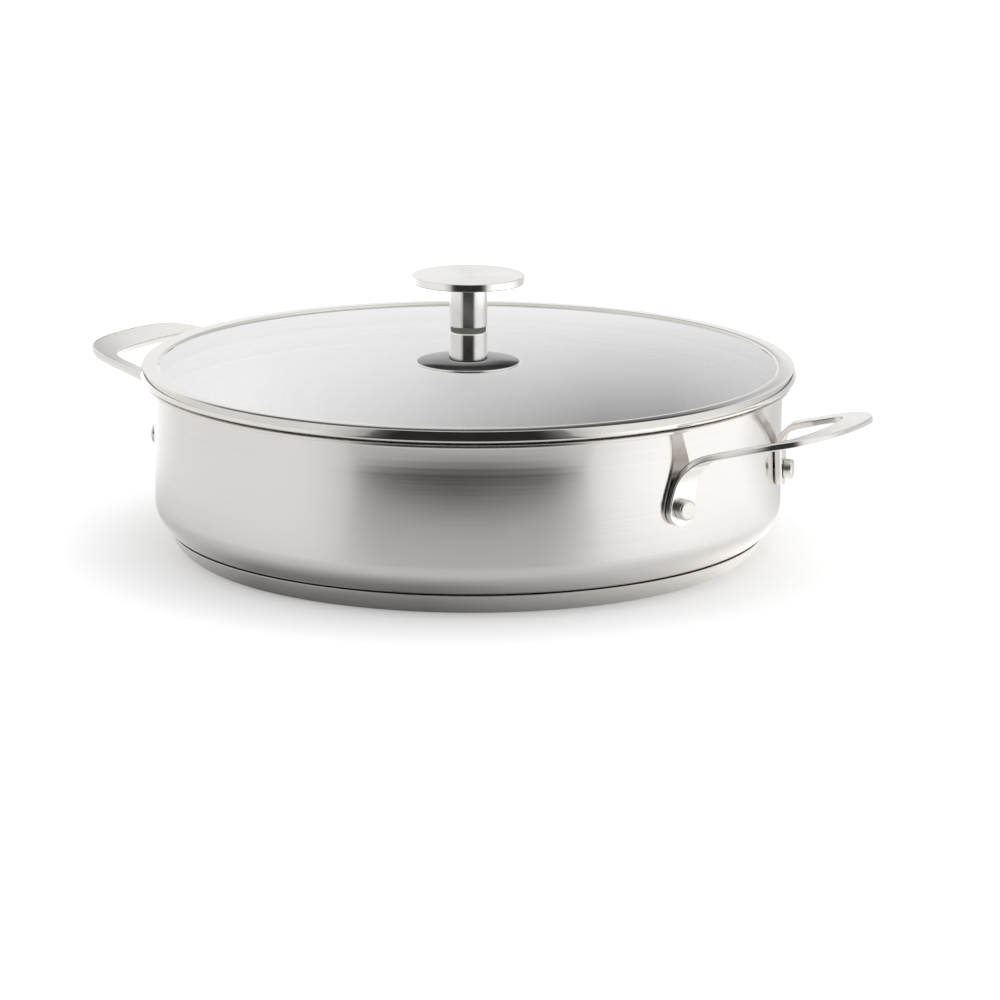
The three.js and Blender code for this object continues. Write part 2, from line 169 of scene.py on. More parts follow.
def brushedSteel(name, look):
    # Stainless steel brushed on a lathe. Hair-fine grooves run round the axis, so highlights stay sharp
    # along the grooves and smear across them. Lines are drawn 0.25 to 0.55 mm apart, coarser than real grit.
    material, tree = newMaterial(name)
    place = addNode(tree, "TexCoord").outputs["Object"]
    flat = addNode(tree, "VectorMath", {0: place, 1: (1, 1, 0)}, operation="MULTIPLY")
    reach = addNode(tree, "VectorMath", {0: flat}, operation="LENGTH").outputs["Value"]
    axes = addNode(tree, "SeparateXYZ", {0: place}).outputs
    along = addNode(tree, "Math", {0: reach, 1: axes["Z"]}, operation="ADD")
    line = addNode(tree, "Math", {0: along, 1: perMetre(look["lineMm"])}, operation="MULTIPLY")
    stroke = (perMetre(look["strokeMm"]),) * 3
    slow = addNode(tree, "VectorMath", {0: flat, 1: stroke}, operation="MULTIPLY")
    side = addNode(tree, "SeparateXYZ", {0: slow}).outputs
    spot = addNode(tree, "CombineXYZ", {"X": side["X"], "Y": side["Y"], "Z": line})
    grooves = addNode(tree, "TexNoise", {
        "Vector": spot, "Scale": 1.0, "Detail": 3.0, "Roughness": 0.6}).outputs["Fac"]
    patches = addNode(tree, "TexNoise", {
        "Vector": place, "Scale": perMetre(look["patchMm"]), "Detail": 2.0}).outputs["Fac"]
    mix = addNode(tree, "Math", {0: grooves, 1: patches}, operation="ADD")
    low, high = look["rough"]
    rough = addNode(tree, "MapRange", {
        "Value": mix, "From Min": 0.7, "From Max": 1.3, "To Min": low, "To Max": high})
    tint = addNode(tree, "Mix", {"Factor": grooves, 6: linear(look["dark"]), 7: linear(look["light"])},
                   data_type="RGBA").outputs[2]
    bump = addNode(tree, "Bump", {"Height": grooves, "Strength": look["bump"], "Distance": 0.03 * millimetre})
    tangent = addNode(tree, "Tangent", direction_type="RADIAL", axis="Z")
    shader = addNode(tree, "BsdfPrincipled", {
        "Base Color": tint, "Metallic": 1.0, "Roughness": rough, "Normal": bump,
        "Anisotropic": look["smear"], "Anisotropic Rotation": 0.25, "Tangent": tangent})
    addNode(tree, "OutputMaterial", {"Surface": shader})
    return material


def smoothSteel(name, look, rim=None):
    # Stainless steel ground and buffed with no clear direction. A faint cloud of wipe marks and a grain of
    # a few tenths of a millimetre keep the reflections from being perfect. A rim, if given, paints a
    # highlight:
    # the colour turns light past that radius.
    material, tree = newMaterial(name)
    place = addNode(tree, "TexCoord").outputs["Object"]
    grain = addNode(tree, "TexNoise", {
        "Vector": place, "Scale": perMetre(look["grainMm"]), "Detail": 3.0}).outputs["Fac"]
    wipes = addNode(tree, "TexNoise", {
        "Vector": place, "Scale": perMetre(look["wipeMm"]), "Detail": 4.0, "Distortion": 0.8}).outputs["Fac"]
    low, high = look["rough"]
    rough = addNode(tree, "MapRange", {
        "Value": wipes, "From Min": 0.3, "From Max": 0.7, "To Min": low, "To Max": high})
    tint = addNode(tree, "Mix", {"Factor": wipes, 6: linear(look["dark"]), 7: linear(look["light"])},
                   data_type="RGBA").outputs[2]
    # Painted highlight: past this radius the colour turns light, a rim highlight painted into the colour.
    if rim:  # bright past this radius
        flat = addNode(tree, "VectorMath", {0: place, 1: (1, 1, 0)}, operation="MULTIPLY")
        reach = addNode(tree, "VectorMath", {0: flat}, operation="LENGTH").outputs["Value"]
        past = addNode(tree, "MapRange", {"Value": reach, "From Min": rim["from"], "From Max": rim["to"]})
        tint = addNode(tree, "Mix", {"Factor": past, 6: tint, 7: linear(rim["light"])},
                       data_type="RGBA").outputs[2]
    bump = addNode(tree, "Bump", {"Height": grain, "Strength": look["bump"], "Distance": 0.02 * millimetre})
    shader = addNode(tree, "BsdfPrincipled", {
        "Base Color": tint, "Metallic": 1.0, "Roughness": rough, "Normal": bump})
    addNode(tree, "OutputMaterial", {"Surface": shader})
    return material


def softMoulding(name, look):
    # Moulded silicone or nylon: matte, with a fine cast grain and a slight cloud in its colour.
    material, tree = newMaterial(name)
    place = addNode(tree, "TexCoord").outputs["Object"]
    grain = addNode(tree, "TexNoise", {
        "Vector": place, "Scale": perMetre(look["grainMm"]), "Detail": 3.0}).outputs["Fac"]
    tint = addNode(tree, "Mix", {"Factor": grain, 6: linear(look["dark"]), 7: linear(look["light"])},
                   data_type="RGBA").outputs[2]
    bump = addNode(tree, "Bump", {"Height": grain, "Strength": 0.3, "Distance": 0.05 * millimetre})
    shader = addNode(tree, "BsdfPrincipled", {
        "Base Color": tint, "Roughness": look["rough"], "IOR": 1.43, "Normal": bump})
    addNode(tree, "OutputMaterial", {"Surface": shader})
    return material


def temperedGlass(name, look):
    # Clear tempered soda-lime glass: nearly colourless face on, mirror-like where it is seen at a low angle.
    material, tree = newMaterial(name)
    place = addNode(tree, "TexCoord").outputs["Object"]
    smears = addNode(tree, "TexNoise", {
        "Vector": place, "Scale": perMetre(look["smearMm"]), "Detail": 3.0}).outputs["Fac"]
    rough = addNode(tree, "MapRange", {
        "Value": smears, "From Min": 0.4, "From Max": 0.8, "To Min": 0.0, "To Max": look["rough"]})
    facing = addNode(tree, "LayerWeight", {"Blend": 0.5}).outputs["Facing"]
    gloss = addNode(tree, "Math", {0: facing, 1: 4.0}, operation="POWER")
    share = addNode(tree, "MapRange", {"Value": gloss, "To Min": 0.04, "To Max": look["mirror"]})
    clear = addNode(tree, "BsdfTransparent", {"Color": linear(look["colour"])})
    shine = addNode(tree, "BsdfAnisotropic", {"Color": (1, 1, 1, 1), "Roughness": rough})
    shader = addNode(tree, "MixShader", {0: share, 1: clear, 2: shine})
    addNode(tree, "OutputMaterial", {"Surface": shader})
    return material


panSteel = brushedSteel("stainless steel brushed round", {
    "dark": "#d7d3d0", "light": "#e3e0de", "rough": (0.12, 0.17), "smear": 0.85, "bump": 0.12,
    "lineMm": 0.55, "strokeMm": 140, "patchMm": 45})
baseSteel = brushedSteel("ferritic steel ground matte", {
    "dark": "#d9d6d2", "light": "#e4e1dd", "rough": (0.3, 0.4), "smear": 0.6, "bump": 0.15,
    "lineMm": 0.45, "strokeMm": 120, "patchMm": 40})
discSteel = brushedSteel("stainless steel satin turned", {
    "dark": "#e9e7e4", "light": "#f1f0ed", "rough": (0.08, 0.12), "smear": 0.5, "bump": 0.05,
    "lineMm": 0.3, "strokeMm": 60, "patchMm": 15})
stemSteel = brushedSteel("stainless steel polished turning", {
    "dark": "#eeece9", "light": "#f5f4f1", "rough": (0.1, 0.14), "smear": 0.8, "bump": 0.03,
    "lineMm": 0.25, "strokeMm": 40, "patchMm": 8})
handleSteel = smoothSteel("stainless steel satin buffed", {
    "dark": "#e6e4e0", "light": "#f1efec", "rough": (0.15, 0.22), "bump": 0.1, "grainMm": 0.5, "wipeMm": 18})
rivetSteel = smoothSteel("stainless steel cold headed", {
    "dark": "#d4d1cc", "light": "#e4e2de", "rough": (0.22, 0.32), "bump": 0.15, "grainMm": 0.6, "wipeMm": 6})
mirrorSteel = smoothSteel("stainless steel mirror polished", {
    "dark": "#dedbd6", "light": "#e8e6e2", "rough": (0.03, 0.07), "bump": 0.0, "grainMm": 0.8, "wipeMm": 22})
# Polished steel under the knob. Its dark colour is a painted dark reflection, and the light colour past the
# rim radius is a painted highlight.
paintedReflectionSteel = smoothSteel("steel with painted dark reflection and rim highlight", {
    "dark": "#444342", "light": "#4e4d4c", "rough": (0.05, 0.09), "bump": 0.0, "grainMm": 0.8, "wipeMm": 10},
    {"from": 0.0229, "to": 0.0231, "light": "#e6e4e0"})
fastenerSteel = smoothSteel("stainless steel pressed", {
    "dark": "#b9b6b1", "light": "#cfccc8", "rough": (0.3, 0.4), "bump": 0.2, "grainMm": 0.5, "wipeMm": 5})
coreMetal = smoothSteel("aluminium rolled", {
    "dark": "#b4b5b7", "light": "#c8c9cb", "rough": (0.4, 0.5), "bump": 0.2, "grainMm": 0.6, "wipeMm": 30})
sealRubber = softMoulding("silicone moulded clear grey", {
    "dark": "#b2b6b3", "light": "#c2c6c3", "rough": 0.6, "grainMm": 0.4})
ringNylon = softMoulding("glass filled nylon moulded", {
    "dark": "#74776e", "light": "#85887f", "rough": 0.5, "grainMm": 0.3})
lidGlass = temperedGlass("soda lime glass tempered", {
    "colour": "#f8faf9", "rough": 0.015, "smearMm": 60, "mirror": 1.9})
print("materials made")


# Pan body: drawn from one sheet, wall turned out into a pouring lip
pan = {"radius": 141.0, "sheet": 1.2, "corner": 16.0, "under": 6.9, "rim": 77.4,
       "lip": 145.0, "lipRound": 2.0, "lipEdge": 0.25,
       "flare": 0.85, "flareStart": 63.0, "flareStep": 3.0, "flareLevels": 4,
       "droop": 0.7, "droopStart": 141.5}


def panOutline(p):
    # The wall leans out by the square of the height above the flare's start, and not at all at the edge of
    # the lip. The lip falls by the square of the distance past the droop's start.
    inside, lipLow = p["radius"] - p["sheet"], p["rim"] - p["sheet"]
    levels = p["flareStart"] + p["flareStep"] * np.arange(p["flareLevels"])
    outline = rounded([
        (0, p["under"], 0),
        (p["radius"], p["under"], p["corner"]),
        *((p["radius"], level, 0) for level in levels),
        (p["radius"], lipLow, p["lipRound"]),
        (p["lip"], lipLow, p["lipEdge"]),
        (p["lip"], p["rim"], p["lipEdge"]),
        (inside, p["rim"], p["lipRound"] + p["sheet"]),
        *((inside, level, 0) for level in levels[::-1]),
        (inside, p["under"] + p["sheet"], p["corner"] - p["sheet"]),
        (0, p["under"] + p["sheet"], 0),
    ], closed=False, steps=20)
    share = np.clip((outline[:, 1] - p["flareStart"]) / (lipLow - p["flareStart"]), 0, 1)
    room = np.clip((p["lip"] - outline[:, 0]) / (p["lip"] - p["radius"]), 0, 1)
    outline[:, 0] += p["flare"] * share ** 2 * room
    past = np.clip((outline[:, 0] - p["droopStart"]) / (p["lip"] - p["droopStart"]), 0, 1)
    outline[:, 1] -= p["droop"] * past ** 2
    return outline


addPiece("panBody", *turned(panOutline(pan)), "pan", "pan_body", "satin_steel", panSteel)

# Base cap: shallow dish pressed over the core, its edge a hair away from the corner of the pan.
# A bulge is radius, height and rounding, a foot is radius and rounding.
cap = {"foot": (127.0, 0.8), "bulge": (132.46, 3.33, 13.0), "rim": 134.49, "seam": 9.2, "edge": 0.6,
       "edgeRound": 0.2, "innerBulge": (131.26, 4.13, 8.0), "innerFoot": (126.6, 0.5), "sheet": 1.0}


def capOutline(c):
    foot, footRound = c["foot"]
    innerFoot, innerRound = c["innerFoot"]
    return rounded([
        (0, 0, 0),
        (foot, 0, footRound),
        c["bulge"],
        (c["rim"], c["seam"], c["edgeRound"]),
        (c["rim"] - c["edge"], c["seam"], c["edgeRound"]),
        c["innerBulge"],
        (innerFoot, c["sheet"], innerRound),
        (0, c["sheet"], 0),
    ], closed=False, steps=16)


addPiece("baseCap", *turned(capOutline(cap)), "pan", "base_cap", "base_steel", baseSteel)
print("pan and base made")


# Handles: a loop cut from plate, its legs flat on the wall, bent out and rising to a rounded grip
handle = {
    "plate": 3.0, "edge": 0.6, "edgeLimit": 0.45, "wallGap": 0.3, "legHalf": 6.5, "footEnd": 4,
    "rivetAngle": 18.6, "rivetHeight": 42.0, "foot": 7.6, "splay": 0.2,
    "bendStart": 51.2, "bendRadius": 14.0, "rise": 18.0, "flatten": 330.0, "arm": 42.4,
    "gripHalf": 42.1, "gripDepth": 34.0, "gripSquare": 3.5, "bar": 16.0, "slotHalf": 33.6, "slotSquare": 6.0,
    "footSteps": 24, "legSteps": 8, "bendSteps": 36, "armSteps": 10, "gripSteps": 56}


def superellipse(start, depth, half, power, count):
    # Quarter of |x|^n + |y|^n = 1 scaled to depth and half width, in even steps along its length.
    samples = 4001
    turn = np.linspace(0, np.pi / 2, samples)
    sine, cosine = np.sin(turn), np.maximum(np.cos(turn), 0)
    curve = np.column_stack((start + depth * sine ** (2 / power), half * cosine ** (2 / power)))
    walked = np.concatenate(([0], np.cumsum(np.linalg.norm(np.diff(curve, axis=0), axis=1))))
    even = np.linspace(0, walked[-1], count + 1)[1:]
    return np.column_stack([np.interp(even, walked, curve[:, i]) for i in (0, 1)])


def blankEdges(h, bend, rivetSide):
    # Outer and inner edge of the flat blank from foot to foot, as (distance along the plate, sideways). The
    # outer edge leaves the foot at a slant and runs into the grip along a cubic curve, so the legs splay.
    tip = bend + h["arm"]
    gripStart, slotEnd = tip - h["gripDepth"], tip - h["bar"]
    footCentre = h["rivetHeight"] - h["bendStart"] - h["foot"] + h["legHalf"]
    turn = np.radians(np.linspace(h["footEnd"], 90, h["footSteps"]))
    footLength = footCentre - h["legHalf"] * np.cos(turn)
    footHalf = h["legHalf"] * np.sin(turn)
    length = np.concatenate((
        np.linspace(footCentre, 0, h["legSteps"])[1:], np.linspace(0, bend, h["bendSteps"])[1:],
        np.linspace(bend, gripStart, h["armSteps"])[1:]))
    share = (length - footCentre) / (gripStart - footCentre)
    taper = h["splay"] * share * (1 - share) ** 2 + share ** 2 * (3 - 2 * share)
    legEdge, slotEdge = rivetSide + h["legHalf"], rivetSide - h["legHalf"]
    outerLeg = legEdge + (h["gripHalf"] - legEdge) * taper
    innerLeg = slotEdge + (h["slotHalf"] - slotEdge) * share
    grip = superellipse(gripStart, h["gripDepth"], h["gripHalf"], h["gripSquare"], h["gripSteps"])
    slot = superellipse(gripStart, slotEnd - gripStart, h["slotHalf"], h["slotSquare"], h["gripSteps"])
    edges = []
    for way, leg, end in ((1, outerLeg, grip), (-1, innerLeg, slot)):
        foot = np.column_stack((footLength, rivetSide + way * footHalf))
        half = np.concatenate((foot, np.column_stack((length, leg)), end))
        edges.append(np.concatenate((half * (1, -1), half[-2::-1])))
    return edges


def plateSection():
    # A rounded rectangle: for each point the corner of the unit plate that it belongs to, as a share of the
    # width and a level from 1 to -1, and the direction that it lies in from there. Four quarter turns, with
    # a few points on the sides between them.
    corners = np.array(((0, 1), (1, 1), (1, -1), (0, -1)))
    sideShares = (np.array((0.05, 0.5, 0.95)), np.array((0.2, 0.8))) * 2
    rows = []
    for i, shares in enumerate(sideShares):
        corner, following = corners[i], corners[(i + 1) % 4]
        bow = np.radians(np.linspace(180, 90, 6) - 90 * i)
        square = np.full(len(shares), np.radians(90 - 90 * i))
        side = corner + (following - corner) * shares[:, None]
        spots = np.concatenate((np.tile(corner, (len(bow), 1)), side))
        turn = np.concatenate((bow, square))
        rows.append(np.column_stack((spots, np.cos(turn), np.sin(turn))))
    return np.concatenate(rows).T


def handleLoop(h):
    # A rounded strip lofted along the loop. Each point of the flat blank is laid on a surface of revolution:
    # leg upright at the wall, circular bend, slowly flattening rise.
    rise = math.radians(h["rise"])
    legRadius = math.hypot(pan["radius"] + h["wallGap"] + h["plate"] / 2, h["legHalf"])
    bend = h["bendRadius"] * (math.pi / 2 - rise)
    outer, inner = blankEdges(h, bend, legRadius * math.sin(math.radians(h["rivetAngle"])))

    across, level, outward, upward = plateSection()
    width = np.linalg.norm(outer - inner, axis=1)[:, None]
    edge = np.minimum(h["edge"], h["edgeLimit"] * width)
    share = (edge + across * (width - 2 * edge) + edge * outward) / width
    lift = np.broadcast_to(level * (h["plate"] / 2 - h["edge"]) + h["edge"] * upward, share.shape)
    spot = outer[:, None] + (inner - outer)[:, None] * share[:, :, None]
    along, side = spot[:, :, 0], spot[:, :, 1]

    bent = np.clip(along, 0, bend) / h["bendRadius"]
    past = np.maximum(along - bend, 0) / h["flatten"]
    slope = np.pi / 2 - bent - past
    radius = (legRadius + h["bendRadius"] * (1 - np.cos(bent))
              + h["flatten"] * (math.sin(rise) - np.sin(rise - past)))
    height = (h["bendStart"] + np.minimum(along, 0) + h["bendRadius"] * np.sin(bent)
              + h["flatten"] * (np.cos(rise - past) - math.cos(rise)))
    stretch = (radius - lift * np.sin(slope)) / radius
    points = np.stack((np.sqrt(radius ** 2 - side ** 2) * stretch, side * stretch,
                       height + lift * np.cos(slope)), axis=2)

    rows, cols = share.shape
    row, col = np.arange(rows - 1)[:, None], np.arange(cols)[None]
    after = (col + 1) % cols
    faces = np.stack((row * cols + col, (row + 1) * cols + col,
                      (row + 1) * cols + after, row * cols + after), axis=2)
    ends = [np.arange(cols).tolist(), (np.arange(cols)[::-1] + (rows - 1) * cols).tolist()]
    return points.reshape(-1, 3), faces.reshape(-1, 4).tolist() + ends


loopPoints, loopFaces = handleLoop(handle)
halfTurn = np.array((-1, -1, 1))
addPiece("handleRight", loopPoints, loopFaces, "pan", "handle_right", "handle_steel", handleSteel)
addPiece("handleLeft", loopPoints * halfTurn, loopFaces, "pan", "handle_left", "handle_steel", handleSteel)

# Rivets: flat head inside the pan, plain round head on the leg of the handle. A head is its radius and the
# distances from the pan's axis where it starts and ends.
rivet = {"innerHead": (5.5, 137.7, 139.2), "innerRound": 0.6, "shank": 2.5,
         "head": (4.5, 144.6, 148.4), "headRound": 1.1, "fine": 0.1}


def rivetShape(r, degrees):
    # Turned round its own axis, then laid along the pan's radius at this angle.
    inner, innerLow, innerHigh = r["innerHead"]
    head, low, high = r["head"]
    outline = rounded([
        (0, innerLow, 0), (inner, innerLow, r["innerRound"]), (inner, innerHigh, r["fine"]),
        (r["shank"], innerHigh, 0), (r["shank"], low, 0),
        (head, low, r["fine"]), (head, high, r["headRound"]), (0, high, 0)], closed=False, brace=0.2)
    points, faces = turned(outline, segments=72)
    turn = math.radians(degrees)
    out, side, up = points[:, 2], points[:, 1], handle["rivetHeight"] - points[:, 0]
    laid = np.column_stack((out * math.cos(turn) - side * math.sin(turn),
                            out * math.sin(turn) + side * math.cos(turn), up))
    return laid, faces


rivetTurns = {"rivet_right_front": -1, "rivet_right_back": 1, "rivet_left_back": -1, "rivet_left_front": 1}
for node, way in rivetTurns.items():
    degrees = way * handle["rivetAngle"] + (180 if "left" in node else 0)
    name = "rivet" + node[5:].title().replace("_", "")
    addPiece(name, *rivetShape(rivet, degrees), "pan", node, "rivet_steel", rivetSteel)
print("handles and rivets made")


# Lid glass: flat disc with a round edge and a hole for the knob
glass = {"low": 78.35, "high": 82.35, "edge": 145.3, "edgeRound": 1.9, "hole": 5.5, "holeRound": 0.3}


def glassOutline(g):
    return rounded([
        (g["hole"], g["low"], g["holeRound"]), (g["edge"], g["low"], g["edgeRound"]),
        (g["edge"], g["high"], g["edgeRound"]), (g["hole"], g["high"], g["holeRound"])])


addPiece("lidGlass", *turned(glassOutline(glass)), "lid", "lid_glass", "lid_glass", lidGlass)

# Lid band: one sheet rolled round the glass, from a skirt in the mouth of the pan to a flange on the glass.
# A hem is how far the edge of the flange steps in and up.
band = {"sheet": 0.5, "outside": 147.0, "skirt": 139.0, "skirtLow": 73.0, "skirtEnd": 0.6, "neck": 0.4,
        "seat": 77.7, "groove": 141.0, "grooveLip": 0.2, "grooveFoot": 0.03, "grooveRun": 1.0,
        "lift": 0.5, "curl": 1.0, "bulge": 9.0, "shoulder": 0.22,
        "crown": 79.0, "crownTilt": (3.8, -2.2), "crownEnd": 1.0, "crest": 83.3,
        "flangeEdge": 138.4, "flangeRun": 0.6, "hem": (0.05, 0.06),
        "bevel": 0.9, "bevelRound": 0.4, "bevelDrop": 0.01, "glassGap": 0.02,
        "liningTop": 144.6, "liningTurn": (145.2, 82.0), "liningSide": 79.5}


def bandOutline(b, glassTop):
    # Skirt, seat on the lip, raised groove, small curl, bulging side, tight shoulder, then a hardly crowned
    # flange that lies on the glass. The crown is an arc that leans out at the shoulder and in at its inner
    # edge. The way back is the inside of the sheet.
    sheet, skirt, seat, neck, edge = b["sheet"], b["skirt"], b["seat"], b["neck"], b["flangeEdge"]
    outTilt, inTilt = b["crownTilt"]
    lean = math.radians(90 - outTilt)
    raised = seat + b["lift"]
    curl, curlRadius = raised + b["curl"], b["outside"] - b["curl"]
    drop = b["crown"] * (1 - math.sin(lean)) + b["shoulder"] * math.sin(lean)
    rise = b["crest"] - drop - curl
    reach = b["bulge"] - b["shoulder"]
    slant = math.asin(rise / reach)
    bulge = (b["outside"] - b["bulge"], curl)
    shoulder = np.array((bulge[0] + reach * math.cos(slant), curl + rise))
    crownCentre = shoulder + (b["shoulder"] - b["crown"]) * np.array((math.cos(lean), math.sin(lean)))
    crown = arc(crownCentre, b["crown"], 90 - outTilt, 90 - inTilt, 12)[1:]
    crown = crown[crown[:, 0] > edge + b["crownEnd"]]
    underside, top = glassTop + b["glassGap"], crown[-1, 1] - b["bevelDrop"]
    hemIn, hemUp = b["hem"]
    lip, groove, flange, lining = b["grooveLip"], b["groove"], seat + sheet, b["outside"] - sheet
    tilt = math.degrees(slant)
    return np.concatenate((
        arc((skirt - sheet / 2, b["skirtLow"] + sheet / 2), sheet / 2, -180, 0, 8),
        [(skirt, seat - neck - sheet)],
        arc((skirt + neck, seat - neck), neck, 180, 90, 6),
        [(skirt + 2 * neck, seat), (groove - 2 * lip, seat), (groove - lip, seat + b["grooveFoot"]),
         (groove, raised), (curlRadius - 2 * lip, raised)],
        arc((curlRadius, curl), b["curl"], -90, 0, 10),
        arc(bulge, b["bulge"], 0, tilt, 16)[1:],
        arc(shoulder, b["shoulder"], tilt, 90 - outTilt, 12)[1:],
        crown,
        arc((edge + b["bevel"], top - b["bevelRound"]), b["bevelRound"], 90, 135, 6),
        [(edge + hemIn, underside + hemUp), (edge, underside), (edge + b["flangeRun"], underside),
         (b["liningTop"], underside), b["liningTurn"], (lining, b["liningSide"]), (lining, curl),
         (curlRadius, raised + lip), (groove + lip, raised + lip), (groove - lip / 2, flange),
         (groove - b["grooveRun"], flange)],
        arc((skirt + neck, flange - neck - sheet), neck + sheet, 90, 180, 8),
        [(skirt - sheet, flange - neck - sheet - neck), (skirt - sheet, b["skirtLow"] + b["skirtEnd"])]))


addPiece("lidBand", *turned(bandOutline(band, glass["high"]), segments=360), "lid", "lid_band",
         "polished_steel", mirrorSteel)
print("lid made")


# Knob: disc on a two-part stem with a dark ring between, on a low domed plate. A pair is low and high.
knob = {"disc": 25.3, "discHeights": (119.3, 122.7), "edgeRound": 0.35, "stem": 8.55, "stemWall": 1.6,
        "upper": (99.5, 119.15), "ring": 7.95, "ringHeights": (96.95, 99.35), "lower": (84.2, 96.8),
        "foot": 8.2, "footRound": 0.25, "taper": 0.5, "taperRound": 0.3, "bore": 3.2, "fine": 0.1,
        "soft": 0.2, "plate": 23.3, "plateLow": 82.5, "plateRim": 0.95, "rimRound": 0.6, "rimLowRound": 0.15,
        "plateTop": 84.05, "plateFlat": 9.0, "flatRun": 0.5, "hollow": (20.3, 0.65)}


def plateOutline(k):
    # Hollow for the gasket below, round rim, and a dome that is a curve of the second degree from the rim to
    # the flat under the stem.
    low, high, flatEnd, fillet = k["plateLow"], k["plateTop"], k["plateFlat"], k["rimRound"]
    hollow, depth = k["hollow"]
    rim = np.array((k["plate"] - fillet, low + k["plateRim"]))
    flat = np.array((flatEnd, high))
    middle = np.array(((rim[0] + flat[0]) / 2, high))
    share = np.linspace(0, 1, 24)[:, None]
    dome = (1 - share) ** 2 * rim + 2 * share * (1 - share) * middle + share ** 2 * flat
    return np.concatenate((
        [(k["bore"], low + depth), (hollow, low + depth), (hollow, low), (k["plate"] - k["soft"], low)],
        arc((k["plate"] - k["rimLowRound"], low + k["rimLowRound"]), k["rimLowRound"], -90, 0, 4),
        arc(rim - (0, fillet), fillet, 0, 85, 12),
        dome,
        [(flatEnd - k["flatRun"], high), (k["bore"] + k["soft"], high), (k["bore"], high - k["soft"])]))


def knobOutlines(k):
    disc, stem, tube, ring, bore = k["disc"], k["stem"], k["stem"] - k["stemWall"], k["ring"], k["bore"]
    edge, fine, soft = k["edgeRound"], k["fine"], k["soft"]
    low, high = k["discHeights"]
    discShape = rounded([(0, low, 0), (disc, low, edge), (disc, high, edge), (0, high, 0)], closed=False)
    low, high = k["upper"]
    upperShape = rounded([(tube, low, soft), (stem, low, edge), (stem, high, fine), (tube, high, soft)])
    low, high = k["ringHeights"]
    ringShape = rounded([(bore, low, fine), (ring, low, soft), (ring, high, soft), (bore, high, fine)],
                        brace=0.2)
    low, high = k["lower"]
    lowerShape = rounded([(bore, low, fine), (k["foot"], low, k["footRound"]),
                          (stem, low + k["taper"], k["taperRound"]), (stem, high, edge), (bore, high, fine)])
    return {"knobDisc": (discShape, "knob_disc", "polished_steel", discSteel),
            "knobUpperSleeve": (upperShape, "knob_upper_sleeve", "polished_steel", stemSteel),
            "knobRing": (ringShape, "knob_ring", "dark_ring", ringNylon),
            "knobLowerSleeve": (lowerShape, "knob_lower_sleeve", "polished_steel", stemSteel),
            "knobBasePlate": (plateOutline(k), "knob_base_plate", "polished_steel", paintedReflectionSteel)}


for name, (outline, node, slotName, material) in knobOutlines(knob).items():
    piece = addPiece(name, *turned(outline, segments=128), "lid", node, slotName, material)
    piece.visible_glossy = False

# Pieces that stay hidden in the assembly keep their solids
hidden = {"base_core": coreMetal, "lid_seal": sealRubber, "knob_gasket": sealRubber, "glass_bush": sealRubber,
          "under_gasket": sealRubber, "knob_insert": fastenerSteel, "knob_screw": fastenerSteel,
          "under_washer": fastenerSteel}
for node, material in hidden.items():
    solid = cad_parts[node]
    solid.visible_glossy = node not in ("knob_screw", "knob_insert")
    solid.data.materials.clear()
    solid.data.materials.append(material)
print("knob made")


# Camera: long lens a little above the lid, turned so that one handle comes forward
view = {"turn": 32.0, "height": 12.82, "distance": 2.0, "aim": (0, 0, 0.040), "roll": 0.205, "lens": 159.53,
        "sensor": 36, "shift": (0.0321, -0.0451), "clipEnd": 50}


def placeCamera(v):
    turn, height, roll = (math.radians(v[key]) for key in ("turn", "height", "roll"))
    back = np.array((math.sin(turn) * math.cos(height), -math.cos(turn) * math.cos(height), math.sin(height)))
    right = np.array((math.cos(turn), math.sin(turn), 0))
    up = np.cross(back, right)
    camera = bpy.data.objects.new("camera", bpy.data.cameras.new("camera"))
    scene.collection.objects.link(camera)
    camera.data.sensor_width = v["sensor"]
    camera.data.lens = v["lens"]
    camera.data.shift_x, camera.data.shift_y = v["shift"]
    camera.data.clip_end = v["clipEnd"]
    pose = np.eye(4)
    pose[:3, 0] = right * math.cos(roll) + up * math.sin(roll)
    pose[:3, 1] = up * math.cos(roll) - right * math.sin(roll)
    pose[:3, 2] = back
    pose[:3, 3] = np.array(v["aim"]) + back * v["distance"]
    camera.matrix_world = Matrix(pose.tolist())
    scene.camera = camera


placeCamera(view)

# Studio: a white table in white surroundings. In front of the table the room is dark, and the steel mirrors
# that. Angles go round the upright axis in degrees, 0 toward the camera and positive to the right. A pair is
# where something starts and where it is full. A shade is a dimmer part of the room behind, from where it
# starts to where it is full, and from there to where it ends.
studio = {
    "darkLeft": (-54.5, -23.5), "darkRight": (52, 22.5),
    "edgeLeft": (-36, -32), "edgeRight": (37, 34), "edgeShare": 0.28,
    "leftStart": (-150, -110), "leftEnd": (60, 20), "leftLevel": 0.82,
    "rightStart": (95, 125), "rightEnd": (168, 146), "rightLevel": 0.7,
    "roomDepth": 0.97, "overhead": (0.75, 0.93), "behind": (-0.5, -0.7), "fill": 0.72,
    "shades": (
        {"depth": 0.8, "aside": (-0.05, 0.03, 0.045, 0.11), "height": (0.19, 0.222, 0.26, 0.31)},
        {"depth": 0.88, "aside": (-0.1, -0.08, 0.07, 0.09), "height": (0.25, 0.275, 0.355, 0.37)})}
# dim, end, back, contact, left and contrast paint shade and light on the table as mirrored in steel: painted
# shade in front and far behind, painted light at the sides close to the pan.
table = {
    "half": 6.0, "paint": 0.85, "glow": (0.24, 0.6), "glowReach": (0.12, 0.26), "contrast": 1.6,
    "dim": (0.16, 0.24), "dimDepth": 0.36, "end": (0.31, 0.37), "back": (-0.8, -1.0), "backLevel": 0.25,
    "contactReach": (0.16, 0.14), "contactTurn": (-8, 64), "contact": (0.48, 1.4),
    "leftTurn": (-25, -85), "left": (0.0, 1.4)}


